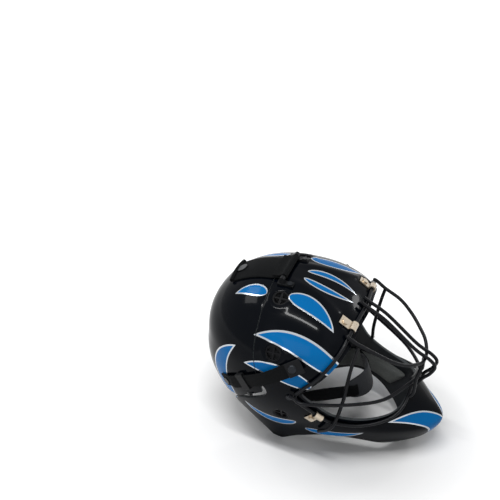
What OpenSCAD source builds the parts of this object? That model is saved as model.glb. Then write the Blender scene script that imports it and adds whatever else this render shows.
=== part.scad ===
// Hockey goalie mask: moulded front shell, hinged back plate, welded wire cage,
// screwed clips, foam lining and an elastic harness.
// Frame: +X is the wearer's left, -Y is the front, +Z is up and Z = 0 is the surface it stands on.

/* [Shell] */
// Overall width at the temples
shell_w = 224; // [205:1:240]
// Height of the crown above the surface it stands on
shell_h = 241; // [234:1:250]
// Height of the widest level, at the temples
temple_z = 150; // [144:1:156]
// Depth from the widest line forward to the brow side
front_depth = 112; // [106:1:118]
// Depth from the widest line back to the nape
rear_depth = 132; // [124:1:140]
// Wall of the moulded shell
shell_t = 4; // [3:0.5:5]
// Wall of the back plate
plate_t = 3.5; // [3:0.5:4]
// Gap of the seam between shell and back plate
seam_gap = 1.4; // [1:0.2:3]
// Forward reach of the chin's tip from the mid plane's origin
chin_reach = 181; // [174:1:186]
// Height of the chin's tip
chin_tip_z = 52; // [46:1:58]
// Full width at the level of the surface it stands on
foot_w = 134; // [124:1:142]

/* [Vents] */
// Diameter of a vent hole
vent_d = 22; // [18:1:24]
// Width of the bars that cross a vent grille
vent_bar = 2.4; // [2:0.2:3]
// Wall of a vent grille's ring
vent_ring = 1.8; // [1.4:0.1:2.4]
// Depth of a vent grille
vent_depth = 4.5; // [3.5:0.5:6]

/* [Cage] */
// Diameter of the cage wire
wire_d = 4.8; // [4:0.2:5.4]
// Gap between a wire and what it lies on
wire_gap = 0.45; // [0.3:0.05:0.7]
// Spacing of the two centre bars, axis to axis
bar_pitch = 12; // [10:1:16]
// Forward reach of the centre bars at their bend
cage_reach = 162; // [158:1:166]
// Height of the centre bars' bend
cage_bend_z = 142; // [139:1:146]
// Distance of the frame wire from the rim, on the shell
frame_inset = 9; // [7:1:11]

/* [Clips] */
// Width of a cage clip
clip_w = 13; // [10:1:16]
// Thickness of the clip's metal
clip_t = 1.6; // [1.2:0.2:2.4]
// Diameter of a clip screw's head
screw_head_d = 8.5; // [7:0.5:10]
// Diameter of a clip screw's shank
screw_d = 4; // [3:0.5:5]

/* [Padding] */
// Thickness of the forehead pad
brow_pad_t = 15; // [10:1:18]
// Thickness of the other pads at their crown
pad_t = 12; // [8:1:15]
// Gap between a pad and the wall behind it
pad_gap = 0.6; // [0.4:0.1:0.8]

/* [Harness] */
// Width of the side straps
strap_w = 19; // [16:1:22]
// Width of the top strap
top_strap_w = 48; // [40:1:54]
// Thickness of the elastic straps
strap_t = 2; // [1.4:0.2:2.6]
// Angle that the back plate opens, which the straps' front ends have to clear
open_angle = 6; // [4:0.5:6]
// Diameter of the top hinge bar
hinge_bar_d = 4; // [3:0.5:5]
// Running clearance round the hinge bar
hinge_gap = 0.35; // [0.3:0.05:0.45]
// Diameter of a snap button
snap_d = 15; // [12:1:18]
// Height of the chin cup
cup_h = 34; // [28:1:38]
// Thickness of the chin cup
cup_t = 5; // [4:0.5:7]
// Clearance between parts that seat on one another
seat_gap = 0.3; // [0.2:0.05:0.4]

/* [Hidden] */
$fn = 32;

// Driving points of the moulded form
core = [0, 25, 120];            // Rays from here meet the form once
wide_y = 22;                    // Widest line of the form
form_p = 2.05;                  // Fullness of the crown
rear_reach = wide_y + rear_depth;
frame_y = (chin_reach - rear_reach - 1.86) / 2; // Puts the middle of the whole depth at Y = 0

// Front line in the mid plane as [height, y]
front_line = [
    [0, -chin_reach + 44], [22, -chin_reach + 15], [chin_tip_z, -chin_reach],
    [73, -chin_reach + 19], [94, -chin_reach + 41], [122, -chin_reach + 67],
    [temple_z, wide_y - front_depth]
];
// Rear line below the temples as [height, y]
rear_line = [
    [0, rear_reach - 64], [30, rear_reach - 36], [60, rear_reach - 15],
    [92, rear_reach - 2], [120, rear_reach + 2], [temple_z, rear_reach]
];

// Rim of the face opening and outer edge of the shell, right half mirrored from the left.
// Each row pairs a rim point with the edge point that its strip of wall runs to.
shell_rows = [
    [[0, -62, 198], [0, 56, 241]],
    [[40, -58, 195], [46, 58, 232]],
    [[75, -48, 175], [86, 58, 210]],
    [[95, -32, 152], [106, 56, 176]],
    [[103, -18, 138], [108, 48, 140]],
    [[105, -11, 129], [100, 38, 112]],
    [[103, -17, 119], [80, 96, 62]],
    [[98, -28, 108], [82, 78, 28]],
    [[92, -38, 97], [68, 40, -7]],
    [[86, -52, 87], [74, 0, 18]],
    [[75, -82, 80], [72, -38, 38]],
    [[54, -112, 84], [58, -78, 34]],
    [[28, -140, 93], [26, -116, 10]],
    [[0, -152, 98], [0, -130, -6]]
];
// Front edge and lower edge of the back plate in the same way
plate_rows = [
    [[0, 56, 241], [0, 146, 56]],
    [[46, 58, 232], [28, 141, 56]],
    [[86, 58, 210], [50, 130, 56]],
    [[106, 56, 176], [66, 114, 60]],
    [[108, 49, 146], [78, 97, 72]],
    [[104, 43, 126], [87, 79, 83]],
    [[101, 41, 116], [95, 57, 103]]
];

function lerp(a, b, t) = a + (b - a) * t;
function clamp(v, lo, hi) = max(lo, min(hi, v));
function unit(v) = v / max(norm(v), 0.000001);
function mirror_x(p) = [-p[0], p[1], p[2]];
function reversed(list) = [for (i = [len(list) - 1:-1:0]) list[i]];

// Value of a smooth curve through evenly counted points at t
function smooth_at(pts, t) =
    let (
        last = len(pts) - 1,
        i = clamp(floor(t), 0, last - 1),
        u = t - i,
        a = pts[max(i - 1, 0)],
        b = pts[i],
        c = pts[i + 1],
        d = pts[min(i + 2, last)]
    )
    b + 0.5 * u * (c - a + u * (2 * a - 5 * b + 4 * c - d + u * (3 * (b - c) + d - a)));

// Value at height z of a line given as [height, value] pairs
function line_at(pts, z) =
    let (
        i = max([for (k = [0:len(pts) - 2]) z >= pts[k][0] ? k : 0]),
        u = clamp((z - pts[i][0]) / (pts[i + 1][0] - pts[i][0]), 0, 1)
    )
    smooth_at([for (p = pts) p[1]], i + u);

// Share of the full plan size at height z above the temples
function dome(z) =
    pow(max(1 - pow(clamp((z - temple_z) / (shell_h - temple_z), 0, 1), form_p), 0.00001), 1 / form_p);
function half_width(z) =
    z > temple_z
        ? shell_w / 2 * dome(z)
        : lerp(foot_w / 2, shell_w / 2, pow(sin(90 * max(z, 0) / temple_z), 1.15));
function front_y(z) =
    z > temple_z ? lerp(core[1] + 22, wide_y - front_depth, dome(z)) : line_at(front_line, max(z, 0));
function rear_y(z) =
    z > temple_z ? lerp(core[1] + 22, rear_reach, dome(z)) : line_at(rear_line, max(z, 0));
function middle_y(z) = lerp(core[1] + 22, wide_y, z > temple_z ? dome(z) : 1);

// Fullness of the plan: the jaw tapers to a narrow chin, the head is rounder
function plan_p(p) =
    p[1] > middle_y(p[2])
        ? 2.1
        : lerp(1.62, 2.1, pow(clamp(p[2] / temple_z, 0, 1), 1.3))
            + 0.4 * clamp((p[2] - temple_z) / 40, 0, 1);

// Below 1 inside the form, above 1 outside
function fullness(p) =
    let (
        z = p[2],
        mid = middle_y(z),
        reach = p[1] < mid ? mid - front_y(z) : rear_y(z) - mid
    )
    z >= shell_h
        ? 2
        : pow(abs(p[0]) / half_width(z), plan_p(p)) + pow(abs(p[1] - mid) / max(reach, 0.01), plan_p(p));

function reach_along(dir, lo, hi, steps) =
    let (mid = (lo + hi) / 2)
    steps == 0 ? mid
        : fullness(core + dir * mid) < 1
            ? reach_along(dir, mid, hi, steps - 1)
            : reach_along(dir, lo, mid, steps - 1);

// Point of the form in the direction of p
function on_form(p) =
    let (dir = unit(p - core))
    core + dir * reach_along(dir, 20, 330, 16);

// Outward direction of the form at p
function form_normal(p) =
    p[2] > shell_h - 8
        ? unit(cross(
            on_form(p + [3, 0, 0]) - on_form(p - [3, 0, 0]),
            on_form(p + [0, 3, 0]) - on_form(p - [0, 3, 0])))
        : let (e = 0.6)
          unit([
            fullness(p + [e, 0, 0]) - fullness(p - [e, 0, 0]),
            fullness(p + [0, e, 0]) - fullness(p - [0, e, 0]),
            fullness(p + [0, 0, e]) - fullness(p - [0, 0, e])
          ]);

function raised(p, h) = p + form_normal(p) * h;

// Left half and its mirror image as one closed ring of rows
function ring_of(half) =
    let (n = len(half) - 1)
    concat(half, [for (i = [n - 1:-1:1]) [for (p = half[i]) mirror_x(p)]]);
// Left half and its mirror image as one open sheet of rows
function sheet_of(half) =
    let (n = len(half) - 1)
    concat([for (i = [n:-1:1]) [for (p = half[i]) mirror_x(p)]], half);

function cell(a, b, c, d) = [[a, b, c], [a, c, d]];
function joined(lists) = [for (l = lists) for (v = l) v];

// Closed wall between an outer and an inner grid of the same shape
module wall(outer, inner, closed) {
    n = len(outer);
    m = len(outer[0]);
    base = n * m;
    spans = closed ? n : n - 1;
    cells = joined([for (i = [0:spans - 1], j = [0:m - 2])
        let (
            a = i * m + j,
            b = ((i + 1) % n) * m + j
        )
        concat(
            cell(a, a + 1, b + 1, b),
            cell(base + a, base + b, base + b + 1, base + a + 1)
        )]);
    edges = joined([for (i = [0:spans - 1])
        let (
            a = i * m,
            b = ((i + 1) % n) * m,
            c = a + m - 1,
            d = b + m - 1
        )
        concat(cell(a, b, base + b, base + a), cell(c, base + c, base + d, d))]);
    ends = closed ? [] : joined([for (j = [0:m - 2])
        let (
            a = j,
            b = (n - 1) * m + j
        )
        concat(
            cell(a, base + a, base + a + 1, a + 1),
            cell(b, b + 1, base + b + 1, base + b)
        )]);
    polyhedron(
        points = concat(joined(outer), joined(inner)),
        faces = concat(cells, edges, ends)
    );
}

function lowered(grid, depth) =
    [for (row = grid) [for (p = row) raised(p, -depth)]];
function lifted(grid, height) = [for (row = grid) [for (p = row) raised(p, height)]];

// Cushion under the form: full in the middle and drawn in along its sides
function cushion(grid, gap, thick, crown) =
    let (
        n = len(grid) - 1,
        m = len(grid[0]) - 1
    )
    [for (i = [0:n]) [for (j = [0:m])
        let (
            u = sin(180 * i / n),
            v = sin(180 * j / m)
        )
        raised(grid[i][j], -(gap + thick + crown * pow(max(u * v, 0), 0.4)))]];

// Round wire swept along a list of points
function step_dirs(path, closed) =
    let (n = len(path))
    [for (i = [0:n - 1])
        unit(path[closed ? (i + 1) % n : min(i + 1, n - 1)]
            - path[closed ? (i + n - 1) % n : max(i - 1, 0)])];
function carried(dirs, side, i) =
    i >= len(dirs) ? []
        : let (s = unit(side - dirs[i] * (side * dirs[i])))
          concat([s], carried(dirs, s, i + 1));

module wire(path, d, closed = false, sides = 8) {
    n = len(path);
    dirs = step_dirs(path, closed);
    start = abs(dirs[0][0]) > 0.8 ? [0, 0, 1] : [1, 0, 0];
    across = carried(dirs, start, 0);
    pts = [for (i = [0:n - 1], k = [0:sides - 1])
        let (
            s = across[i],
            t = cross(dirs[i], s),
            a = 360 * (k + 0.5) / sides
        )
        path[i] + (s * cos(a) + t * sin(a)) * d / 2];
    twist = closed ? round(
        atan2(across[0] * cross(dirs[0], across[n - 1]), across[0] * across[n - 1]) * sides / 360) : 0;
    spans = closed ? n : n - 1;
    skin = joined([for (i = [0:spans - 1], k = [0:sides - 1])
        let (
            shift = closed && i == n - 1 ? -twist : 0,
            a = i * sides + k,
            b = i * sides + (k + 1) % sides,
            c = ((i + 1) % n) * sides + (k + 1 + shift + sides) % sides,
            e = ((i + 1) % n) * sides + (k + shift + sides) % sides
        )
        [[a, b, c], [a, c, e]]]);
    caps = closed ? [] : [
        [for (k = [sides - 1:-1:0]) k],
        [for (k = [0:sides - 1]) (n - 1) * sides + k]
    ];
    polyhedron(points = pts, faces = [for (f = concat(skin, caps)) reversed(f)]);
}

function smooth_path(pts, steps) =
    [for (i = [0:steps]) smooth_at(pts, i * (len(pts) - 1) / steps)];
// A left half path that starts in the mid plane, with its mirror image
function both_halves(half) = concat([for (i = [len(half) - 1:-1:1]) mirror_x(half[i])], half);

// Moves children to point p with their Z along the form's outward direction and X along dir
module seated(p, dir) {
    z = form_normal(p);
    x = unit(dir - z * (dir * z));
    y = cross(z, x);
    multmatrix([
        [x[0], y[0], z[0], p[0]],
        [x[1], y[1], z[1], p[1]],
        [x[2], y[2], z[2], p[2]],
        [0, 0, 0, 1]
    ]) children();
}
module in_frame() translate([0, frame_y, 0]) children();
module both_sides() {
    children();
    mirror([1, 0, 0]) children();
}

// Points along the shell's strips: t counts the rows, s runs from the rim to the outer edge
function strip_point(rows, t, s) =
    on_form(lerp(
        smooth_at([for (r = rows) r[0]], t),
        smooth_at([for (r = rows) r[1]], t),
        s
    ));
function patch(rows, t0, t1, s0, s1, count, steps) =
    [for (i = [0:count]) [for (j = [0:steps])
        strip_point(rows, lerp(t0, t1, i / count), lerp(s0, s1, j / steps))]];

half_rows = 36;
strip_steps = 12;
last_row = len(shell_rows) - 1;
shell_grid = ring_of(patch(shell_rows, 0, last_row, 0, 1, half_rows, strip_steps));
plate_last = len(plate_rows) - 1;
plate_grid = sheet_of([for (row = patch(plate_rows, 0, plate_last, 0, 1, 16, 12))
    [for (p = row) on_form(p + [0, seam_gap, 0])]]);

// Vent places on the left half: crown, ear and jaw
vents = [[50, 40, 232], [104, 30, 184], [90, 20, 78]];
vent_r = vent_d / 2;

module shell() color("#14161a") in_frame() difference() {
    wall(shell_grid, lowered(shell_grid, shell_t), true);
    translate([-shell_w, -2 * shell_w, -60]) cube([2 * shell_w, 4 * shell_w, 60]);
    both_sides() {
        for (v = vents) seated(on_form(v), [0, 1, 0])
            translate([0, 0, -15]) cylinder(h = 25, r = vent_r, $fn = 28);
        for (c = clips) seated(clip_seat(c), clip_dir(c))
            translate([clip_screw_x, 0, 0]) small_bore(screw_d);
        seated(cup_rivet_seat, [0, 0, 1]) small_bore(rivet_d);
        seated(foot_seat, [0, 1, 0]) translate([foot_screw_x, 0, 0]) small_bore(rivet_d);
        seated(stud_seat, [0, 1, 0]) small_bore(rivet_d);
    }
}
module small_bore(d) translate([0, 0, -12]) cylinder(h = 24, r = d / 2 + seat_gap, $fn = 16);

module back_plate() color("#14161a") in_frame() difference() {
    wall(plate_grid, lowered(plate_grid, plate_t), false);
    both_sides() seated(strap_rivet_seat, [0, 1, 0]) small_bore(rivet_d);
    seated(snap_seat, [0, 1, 0]) small_bore(rivet_d);
}

module vent_grille() {
    r = vent_r - seat_gap;
    translate([0, 0, -vent_depth - 0.8]) {
        difference() {
            cylinder(h = vent_depth, r = r, $fn = 28);
            translate([0, 0, -1]) cylinder(h = vent_depth + 2, r = r - vent_ring, $fn = 28);
        }
        for (a = [0, 90]) rotate(a)
            translate([-r + vent_ring / 2, -vent_bar / 2, 1])
                cube([2 * r - vent_ring, vent_bar, vent_depth - 2]);
    }
}
module vent_grilles() color("#0b0c0e") in_frame() both_sides()
    for (v = vents) seated(on_form(v), [0, 1, 0]) vent_grille();

// Cage: each wire lies on the one below it, one wire and a weld gap further out
weld_gap = 0.12;
wire_r = wire_d / 2;
layer = wire_d + weld_gap;

function frame_out(t) = t < 10 ? frame_inset : lerp(frame_inset, -wire_d - 1.5, (t - 10) / (last_row - 10));
function frame_foot(t) =
    let (
        rim = strip_point(shell_rows, t, 0),
        in_wall = strip_point(shell_rows, t, 0.12)
    )
    rim + unit(in_wall - rim) * frame_out(t);
function frame_at(t, lift = 0) =
    let (
        foot = frame_foot(t),
        seat = frame_out(t) > 0 ? on_form(foot) : foot
    )
    raised(seat, wire_r + wire_gap + lift * layer);

frame_steps = 30;
module cage_frame() color("#1c1e20") in_frame() {
    half = [for (i = [0:frame_steps]) frame_at(i * last_row / frame_steps)];
    wire(concat(half, [for (i = [frame_steps - 1:-1:1]) mirror_x(half[i])]), wire_d, true);
}

// Centre bars in the mid plane, from above the brow to the chin
bar_top = frame_at(0, 1);
foot_ref = frame_at(12.55);
bar_foot = [0, foot_ref[1], foot_ref[2] + 1] + unit([0, -0.9, -0.4]) * (layer + 0.4);
bar_line = [
    bar_top + [0, 8, 5], bar_top, bar_top + [0, -26, -15],
    [0, -cage_reach + 30, cage_bend_z + 22], [0, -cage_reach + 8, cage_bend_z + 9],
    [0, -cage_reach, cage_bend_z - 1], [0, -cage_reach + 5, cage_bend_z - 14],
    bar_foot + [0, -8, 15], bar_foot + [0, -1.2, 2.6], bar_foot + [0, 0.6, -1.6]
];
module cage_centre_bars() color("#1c1e20") in_frame()
    for (side = [-1, 1]) translate([side * bar_pitch / 2, 0, 0])
        wire(smooth_path(bar_line, 28), wire_d);

// Bow from brow side to brow side that passes under the centre bars
brow_hub = smooth_at(bar_line, 3.75) + unit([0, 0.5, -0.87]) * layer;
bow_side = [64, -72, 197];
brow_line = [
    brow_hub, brow_hub + [14, 2, 0.5], [28, brow_hub[1] + 8, 156], [41, -129, 162], [53, -114, 173],
    [61, -95, 186], bow_side, frame_at(1.4, 1.08), frame_at(1.37, 1.1) + [0, 5, 2]
];
module cage_brow_bow() color("#1c1e20") in_frame()
    wire(smooth_path(both_halves(brow_line), 48), wire_d);

// Upright at each side, from the bow down over the jaw
upright_line = [
    bow_side + unit([0.05, 0.12, -1]) * (wire_r + 0.45), [66, -68, 178], [67, -64, 155], [67, -60, 125],
    [74, -58, 102], frame_at(9, 1.3), raised(strip_point(shell_rows, 9, 0.46), wire_r + wire_gap + 0.7)
];
module cage_uprights() color("#1c1e20") in_frame() both_sides()
    wire(smooth_path(upright_line, 20), wire_d);

// Bow from temple to temple round the mouth, inside the centre bars
mouth_bar = smooth_at(bar_line, 7);
mouth_hub = mouth_bar + unit([0, 0.9, 0.2]) * layer;
cheek_line = [
    mouth_hub, mouth_hub + [20, 7, 0], [60, -109, 112], [92, -66, 116],
    frame_at(4.9, 1) + [2, -14, -2], frame_at(4.9, 1), frame_at(4.8, 1) + [0, 8, 2]
];
module cage_cheek_bow() color("#1c1e20") in_frame()
    wire(smooth_path(both_halves(cheek_line), 40), wire_d);

// Arch from the chin up to the brow bow and down again
arch_top = brow_hub + unit([0, 0.3, -0.95]) * layer;
arch_line = [
    arch_top, arch_top + [9, 0, -2], [19, -144, 134], mouth_hub + [22, 1, 8],
    frame_at(12.1, 1) + [0, -3, 6], frame_at(12.1, 1) + [1, 1, -2]
];
module cage_nose_arch() color("#1c1e20") in_frame()
    wire(smooth_path(both_halves(arch_line), 32), wire_d);

// Clips that hook over the frame wire, each held by a screw
clips = [1, 7.75];
clip_screw_x = 4;
clip_wire_x = -9;
clip_in_r = wire_r + 0.85;
function clip_seat(t) = on_form(frame_foot(t) - unit(clip_dir(t)) * clip_wire_x);
function clip_dir(t) = cross(form_normal(frame_foot(t)), frame_at(t + 0.05) - frame_at(t - 0.05));

module clip() {
    axis_z = wire_r + wire_gap - 0.1;
    difference() {
        translate([clip_wire_x, clip_w / 2, 0]) rotate([90, 0, 0]) linear_extrude(clip_w) {
            translate([0, axis_z]) difference() {
                circle(clip_in_r + clip_t);
                circle(clip_in_r);
                translate([0, -20]) square(20);
                translate([-20, -20]) square([20, 20 - clip_in_r * 0.6]);
            }
            translate([clip_in_r, seat_gap]) square([clip_t, axis_z - seat_gap + 0.4]);
            translate([clip_in_r, seat_gap]) square([clip_screw_x - clip_wire_x + 7 - clip_in_r, clip_t]);
        }
        translate([clip_screw_x, 0, -5]) cylinder(h = 20, r = screw_d / 2 + seat_gap, $fn = 16);
    }
}
module brow_clips() color("#c9b48a") in_frame() both_sides()
    seated(clip_seat(clips[0]), clip_dir(clips[0])) clip();
module jaw_clips() color("#d8d6cf") in_frame() both_sides()
    seated(clip_seat(clips[1]), clip_dir(clips[1])) clip();

module screw(top) {
    translate([0, 0, top]) cylinder(h = 2.4, r = screw_head_d / 2, $fn = 20);
    translate([0, 0, -shell_t - 4.6]) cylinder(h = top + shell_t + 4.7, r = screw_d / 2, $fn = 16);
}
module nut() translate([0, 0, -shell_t - 3.8]) difference() {
    cylinder(h = 3, r = screw_head_d / 2, $fn = 6);
    translate([0, 0, -1]) cylinder(h = 5, r = screw_d / 2 + 0.05, $fn = 16);
}
clip_top = seat_gap + clip_t + 0.1;
module clip_screws() color("#d9d9d6") in_frame() both_sides()
    for (c = clips) seated(clip_seat(c), clip_dir(c)) translate([clip_screw_x, 0, 0]) screw(clip_top);
module clip_nuts() color("#9a9a98") in_frame() both_sides()
    for (c = clips) seated(clip_seat(c), clip_dir(c)) translate([clip_screw_x, 0, 0]) nut();

// Rivet with a low head on each face of what it holds
module rivet(top, bottom, head, head_h = 1.4) {
    translate([0, 0, top]) cylinder(h = head_h, r = head / 2, $fn = 20);
    translate([0, 0, bottom - 1.2]) cylinder(h = 1.2, r = rivet_d / 2 + 1.6, $fn = 16);
    translate([0, 0, bottom - 0.2]) cylinder(h = top - bottom + 0.4, r = rivet_d / 2, $fn = 16);
}

// Foam lining
pad_top = shell_t + pad_gap;
// half runs from the mid plane outward, chin_half from the jaw to the mid plane
function sheet_to_mid(half) =
    let (n = len(half) - 1)
    concat(half, [for (i = [n - 1:-1:0]) [for (p = half[i]) mirror_x(p)]]);
module pad(grid, thick, more = 0) wall(
    lowered(grid, pad_top + more), cushion(grid, pad_top + more, thick * 0.45, thick * 0.55), false);

module forehead_pad() color("#2a2c30") in_frame()
    pad(sheet_of(patch(shell_rows, 0, 2.2, 0.26, 0.45, 8, 6)), brow_pad_t, 0.2);
module crown_pad() color("#2a2c30") in_frame()
    pad(sheet_of(patch(shell_rows, 0, 0.72, 0.52, 0.72, 5, 6)), pad_t);
module temple_pad_left() color("#2a2c30") in_frame() difference() {
    pad(patch(shell_rows, 2.35, 4.1, 0.2, 0.88, 10, 9), pad_t);
    seated(stud_seat, [0, 1, 0]) translate([0, 0, -shell_t - 3]) cylinder(h = 4, r = 5, $fn = 20);
    seated(on_form(vents[1]), [0, 1, 0])
        translate([0, 0, -vent_depth - 1.5]) cylinder(h = 6, r = vent_r + 0.6, $fn = 28);
}
module temple_pad_right() mirror([1, 0, 0]) temple_pad_left();
module cheek_pad_left() color("#8d9296") in_frame()
    pad(patch(shell_rows, 8.3, 11.1, 0.32, 0.82, 11, 6), pad_t);
module cheek_pad_right() mirror([1, 0, 0]) cheek_pad_left();
module chin_pad() color("#8d9296") in_frame()
    pad(sheet_to_mid(patch(shell_rows, 11.7, last_row, 0.14, 0.46, 5, 6)), pad_t, 0.4);
module back_pad() color("#2a2c30") in_frame()
    pad(sheet_of(patch(plate_rows, 0, 2.6, 0.36, 0.74, 7, 7)), pad_t, 0.2);

// Flat band through points; across gives its width direction at each point
module band(path, across, w, t) {
    n = len(path);
    dirs = step_dirs(path, false);
    rows = [for (i = [0:n - 1])
        let (
            a = unit(across[i] - dirs[i] * (across[i] * dirs[i])),
            up = cross(dirs[i], a)
        )
        [path[i] - a * w / 2 + up * t / 2, path[i] + a * w / 2 + up * t / 2,
         path[i] + a * w / 2 - up * t / 2, path[i] - a * w / 2 - up * t / 2]];
    sides = joined([for (i = [0:n - 2], k = [0:3])
        cell(4 * i + k, 4 * i + (k + 1) % 4, 4 * i + 4 + (k + 1) % 4, 4 * i + 4 + k)]);
    caps = concat(cell(3, 2, 1, 0), cell(4 * n - 4, 4 * n - 3, 4 * n - 2, 4 * n - 1));
    polyhedron(points = joined(rows), faces = concat(sides, caps));
}

// Chin cup on two straps that are riveted inside the shell
rivet_d = 3.6;
cup_z = 88;
cup_y = -74;
cup_half = 34;
cup_depth = 19;
function cup_point(u) = [cup_half * u, cup_y + cup_depth * u * u, cup_z];
cup_rise = [0, 0.3, 1];
module chin_cup() color("#1d2023") in_frame()
    band([for (i = [-8:8]) cup_point(i / 8)], [for (i = [-8:8]) cup_rise], cup_h, cup_t);
band_t = 1.6;
cup_rivet_seat = strip_point(shell_rows, 5.15, 0.31);
band_drop = 0.9;
band_in = raised(cup_rivet_seat, -shell_t - band_drop - band_t / 2);
cup_out = unit([0.75, -0.66, 0]);
cup_tail = cup_point(0.86) + cup_out * (cup_t / 2 + band_t / 2 + 0.8);
strap_path = concat(
    [cup_tail - [5, 4.3, 0], cup_tail, cup_tail + [9, 10, 3]],
    [for (u = [0.2, 0.4, 0.6, 0.8]) lerp(cup_tail + [9, 10, 3], band_in + [-6, -2, -13], u)],
    [band_in + [-6, -2, -13], band_at(-5), band_in, band_at(6)]
);
function band_at(dz) = raised(on_form(cup_rivet_seat + [0, 0, dz]), -shell_t - band_drop - band_t / 2);
band_side = unit(cross([0, 0, 1], form_normal(cup_rivet_seat)));
module cup_strap_left() color("#26292c") in_frame() difference() {
    band(strap_path, [for (i = [0:10]) lerp([0, 0.3, 1], band_side, clamp((i - 1) / 6, 0, 1))], 16, band_t);
    seated(cup_rivet_seat, [0, 0, 1]) small_bore(rivet_d);
}
module cup_strap_right() mirror([1, 0, 0]) cup_strap_left();
module cup_rivets() color("#c4c4c2") in_frame() both_sides()
    seated(cup_rivet_seat, [0, 0, 1]) rivet(0.1, -shell_t - band_drop - band_t - 0.5, 9);

// Top loop on the shell: its bar is the hinge of the back plate
hinge_y = 45;
hinge_r = hinge_bar_d / 2;
hinge_z = shell_h + 0.9 + strap_t + hinge_gap + hinge_r;
loop_half = top_strap_w / 2 + 5;
foot_seat = on_form([loop_half, 40, shell_h - 3]);
foot_screw_x = -6;
foot_t = 3;
module top_loop() color("#17191c") in_frame() {
    both_sides() {
        difference() {
            seated(foot_seat, [0, 1, 0]) translate([-11, -4, seat_gap]) cube([22, 8, foot_t]);
            seated(foot_seat, [0, 1, 0]) translate([foot_screw_x, 0, 0]) small_bore(rivet_d);
        }
        translate([loop_half - 3, hinge_y - 3.5, foot_seat[2] + 1.5])
            cube([6, 7, hinge_z - foot_seat[2] - 1.5]);
        translate([loop_half - 3, hinge_y, hinge_z]) rotate([0, 90, 0]) cylinder(h = 6, r = 3.5, $fn = 24);
    }
    translate([-loop_half, hinge_y, hinge_z]) rotate([0, 90, 0])
        cylinder(h = 2 * loop_half, r = hinge_r, $fn = 24);
}
module loop_screws() color("#b9b9b6") in_frame() both_sides()
    seated(foot_seat, [0, 1, 0]) translate([foot_screw_x, 0, 0])
        rivet(seat_gap + foot_t + 0.1, -shell_t - 0.8, 7);

// Top strap: a sleeve round the bar and a tail that lies on the back plate
snap_seat = on_form([0, 112, shell_h - 15]);
sleeve_in = hinge_r + hinge_gap;
tail_z = hinge_z - sleeve_in;
function tail_row(y, z) = [for (k = [-4:4]) [k * top_strap_w / 8, y, z]];
tail_heights = [[58, shell_h], [84, shell_h - 3], [120, shell_h - 20]];
function tail_on_form(y) =
    [for (k = [-4:4]) on_form([k * top_strap_w / 8, y, line_at(tail_heights, y)])];
tail_rows = [for (y = [70, 80, 90, 100, 110, 120]) tail_on_form(y)];
tail_low = concat(
    [tail_row(hinge_y + 1, tail_z - strap_t), tail_row(hinge_y + 10, tail_z - strap_t)],
    [[for (p = tail_on_form(62)) raised(p, 0.75)]], lifted(tail_rows, seat_gap));
tail_high = concat(
    [tail_row(hinge_y + 1, tail_z), tail_row(hinge_y + 10, tail_z)],
    [[for (p = tail_on_form(62)) raised(p, 0.75 + strap_t)]], lifted(tail_rows, seat_gap + strap_t));
module top_strap() color("#121316") in_frame() difference() {
    union() {
        translate([-top_strap_w / 2, hinge_y, hinge_z]) rotate([0, 90, 0])
            cylinder(h = top_strap_w, r = sleeve_in + strap_t, $fn = 28);
        wall(tail_low, tail_high, false);
    }
    translate([-top_strap_w / 2 - 1, hinge_y, hinge_z]) rotate([0, 90, 0])
        cylinder(h = top_strap_w + 2, r = sleeve_in, $fn = 28);
    seated(snap_seat, [0, 1, 0]) small_bore(rivet_d);
}
module top_snap() color("#c9cacb") in_frame()
    seated(snap_seat, [0, 1, 0]) rivet(seat_gap + strap_t + 0.4, -plate_t - 1, snap_d);

// Side straps: fixed to the back plate by a rivet, the tab in front snaps over a stud
tab_len = 22;
stud_seat = on_form([109, 3, 172]);
side_front = on_form([109, -7, 179]);
side_mid = on_form([109, 22, 158]);
run_a = raised(on_form([105, 50, 138]), 3.2 + strap_t / 2);
run_b = raised(on_form([95, 84, 115]), 3.2 + strap_t / 2);
strap_rivet_seat = on_form([89, 97, 106]);
strap_low = seat_gap + strap_t / 2;
strap_lift = 0.6 * open_angle;
front_high = strap_lift + strap_t / 2;
side_path = [
    raised(side_front, front_high), raised(stud_seat, front_high),
    raised(on_form([110, 13, 165]), front_high), raised(side_mid, front_high),
    raised(on_form([109, 36, 148]), front_high + 0.2),
    run_a, lerp(run_a, run_b, 0.5), run_b,
    raised(on_form([91.5, 91, 110]), 1.6 + strap_t / 2),
    raised(strap_rivet_seat, strap_low), raised(on_form([85, 104, 101]), strap_low)
];
side_across = [for (i = [0:10])
    let (
        near = side_path[clamp(i, 0, 10)],
        n = form_normal(near),
        d = side_path[min(i + 1, 10)] - side_path[max(i - 1, 0)]
    )
    unit(cross(n, d))];
module side_strap_left() color("#121316") in_frame() difference() {
    band(side_path, side_across, strap_w, strap_t);
    seated(strap_rivet_seat, [0, 1, 0]) small_bore(rivet_d);
}
module side_strap_right() mirror([1, 0, 0]) side_strap_left();
module strap_rivets() color("#c9cacb") in_frame() both_sides()
    seated(strap_rivet_seat, [0, 1, 0]) rivet(seat_gap + strap_t + 0.85, -plate_t - 0.8, 10);

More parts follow.
